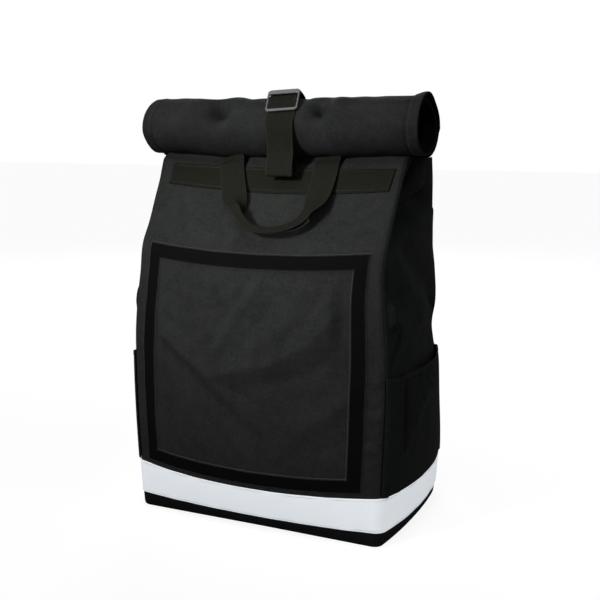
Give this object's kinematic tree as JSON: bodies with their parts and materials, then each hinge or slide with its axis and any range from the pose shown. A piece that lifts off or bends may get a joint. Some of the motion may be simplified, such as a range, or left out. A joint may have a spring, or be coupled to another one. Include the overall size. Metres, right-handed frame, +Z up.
{
  "type": "roll-top backpack",
  "caption": "Upright roll-top backpack: hollow cloth body, rolled mouth held by a strap and slider, grab handle, reflective tape, side pockets and shoulder straps.",
  "frame": {"origin": "middle of the base's underside, on the floor", "axes": "+Z up, -Y towards the front panel, +X to the right seen from the front"},
  "size_m": [0.4422, 0.326, 0.6116],
  "materials": {
    "body_cloth": "matt black woven synthetic",
    "base_cloth": "matt black coated cloth",
    "reflective_tape": "silver white satin tape",
    "hook_and_loop": "deep black pile",
    "webbing": "black ribbed webbing",
    "padding_cloth": "matt black padded cloth",
    "slider_metal": "satin gunmetal grey",
    "buckle_plastic": "matt black plastic"
  },
  "bodies": {
    "root": {"base_tray": "base_cloth", "body_shell": "body_cloth", "roll_top": "body_cloth", "reflective_band": "reflective_tape", "hook_loop_frame": "hook_and_loop", "webbing_band": "webbing", "grab_handle": "webbing", "closure_strap_front": "webbing", "closure_strap_back": "webbing", "slider_buckle": "slider_metal", "side_pocket_right": "body_cloth", "side_pocket_left": "body_cloth", "shoulder_strap_right": "padding_cloth", "shoulder_strap_left": "padding_cloth", "strap_webbing_right": "webbing", "strap_webbing_left": "webbing", "strap_adjuster_right": "buckle_plastic", "strap_adjuster_left": "buckle_plastic"}
  },
  "joints": []
}
